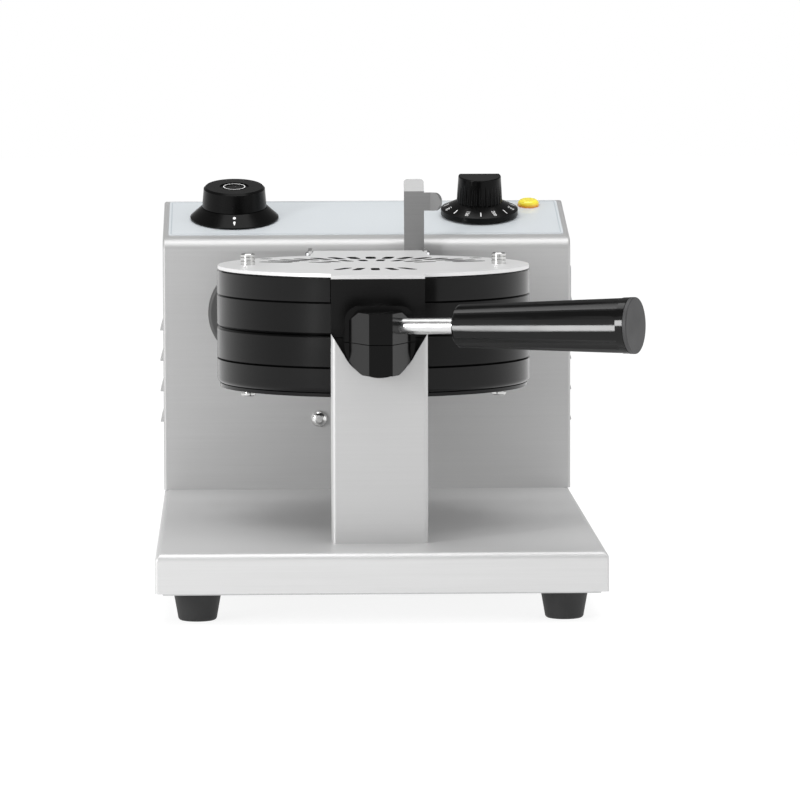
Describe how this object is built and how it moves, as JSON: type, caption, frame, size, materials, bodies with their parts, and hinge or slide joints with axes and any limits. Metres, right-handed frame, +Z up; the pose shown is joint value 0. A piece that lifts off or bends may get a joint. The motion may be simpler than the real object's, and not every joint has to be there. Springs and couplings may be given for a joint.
{
  "type": "waffle maker",
  "caption": "Round countertop waffle maker whose hinged double mould turns over between a front post and a rear housing with timer and thermostat.",
  "frame": {"origin": "centre of the bounding box on the plane of the feet", "axes": "+Z up, +Y from the front of the base to the housing, +X to the right seen from the front"},
  "size_m": [0.2709, 0.485, 0.2312],
  "materials": {
    "stainless_sheet": "brushed stainless sheet",
    "lid_stainless": "brushed stainless sheet",
    "bracket_stainless": "satin stainless sheet",
    "rubber_black": "matte",
    "screw_steel": "zinc-plated",
    "gland_plastic": "matte",
    "terminal_plastic": "matte",
    "label_film": "satin film",
    "bearing_steel": "plain steel",
    "bush_brass": "turned",
    "control_body": "moulded",
    "amber_lens": "clear amber",
    "switch_plastic": "satin, light grey",
    "knob_plastic": "satin",
    "shaft_steel": "turned",
    "yoke_cast": "matte black",
    "mould_cast": "black, satin",
    "grid_coat": "black non-stick coat",
    "casing_black": "black enamel",
    "heater_tube": "heat-tinted",
    "pad_wool": "mineral wool under black glass fleece",
    "hub_plastic": "phenolic",
    "rod_steel": "polished",
    "grip_plastic": "phenolic, polished",
    "cap_plastic": "matte"
  },
  "bodies": {
    "stand": {"base_pan": "stainless_sheet", "bottom_plate": "stainless_sheet", "rubber_feet": "rubber_black", "foot_screws": "screw_steel", "m5_nuts": "screw_steel", "housing_shell": "stainless_sheet", "back_cover": "stainless_sheet", "back_screws": "screw_steel", "cable_gland": "gland_plastic", "terminal_block": "terminal_plastic", "panel_label": "label_film", "front_post": "stainless_sheet", "m5_screws": "screw_steel", "bearing_housing": "bearing_steel", "bearing_bush": "bush_brass", "wall_screws": "screw_steel", "timer_body": "control_body", "timer_nut": "screw_steel", "thermostat_body": "control_body", "thermostat_screws": "screw_steel", "lamp_lens": "amber_lens", "lamp_body": "control_body", "switch_body": "switch_plastic"},
    "rotor": {"rotor_shaft": "shaft_steel", "stop_collar": "shaft_steel", "stop_pin": "shaft_steel", "yoke": "yoke_cast", "yoke_screws": "screw_steel", "hinge_bracket": "bracket_stainless", "bracket_screws": "screw_steel", "hinge_pin": "screw_steel", "lower_mould": "mould_cast", "lower_grid": "grid_coat", "lower_heater": "heater_tube", "lower_pad": "pad_wool", "lower_casing": "casing_black", "lower_plate": "casing_black", "lower_studs": "screw_steel", "lower_rim_screws": "screw_steel", "lower_hub": "hub_plastic", "lower_tie": "screw_steel"},
    "lid": {"upper_mould": "mould_cast", "upper_grid": "grid_coat", "upper_heater": "heater_tube", "upper_pad": "pad_wool", "upper_casing": "casing_black", "lid_plate": "lid_stainless", "upper_studs": "screw_steel", "upper_rim_screws": "screw_steel", "upper_hub": "hub_plastic", "upper_tie": "screw_steel", "handle_rod": "rod_steel", "handle_grip": "grip_plastic", "grip_cap": "cap_plastic"},
    "timer_dial": {"timer_skirt": "knob_plastic", "timer_cap": "knob_plastic", "timer_shaft": "shaft_steel"},
    "thermostat_dial": {"thermostat_knob": "knob_plastic", "thermostat_shaft": "shaft_steel"},
    "rocker": {"switch_rocker": "switch_plastic"}
  },
  "joints": [
    {"name": "rotor_turn", "type": "hinge", "parent": "stand", "child": "rotor", "pos_m": [-0.00829, 0.10064, 0.1532], "axis": [0, 1, 0], "range_deg": [-180, 0]},
    {"name": "lid_hinge", "type": "hinge", "parent": "rotor", "child": "lid", "pos_m": [-0.00829, 0.11016, 0.1832], "axis": [-1, 0, 0], "range_deg": [0, 100]},
    {"name": "timer_turn", "type": "hinge", "parent": "stand", "child": "timer_dial", "pos_m": [-0.08929, 0.18445, 0.20385], "axis": [0, 0.2169, -0.9762], "range_deg": [0, 300]},
    {"name": "thermostat_turn", "type": "hinge", "parent": "stand", "child": "thermostat_dial", "pos_m": [0.06321, 0.18933, 0.20493], "axis": [0, 0.2169, -0.9762], "range_deg": [0, 270]},
    {"name": "switch_rock", "type": "hinge", "parent": "stand", "child": "rocker", "pos_m": [0.11371, 0.16564, 0.1605], "axis": [0, 1, 0], "range_deg": [0, 18]}
  ]
}
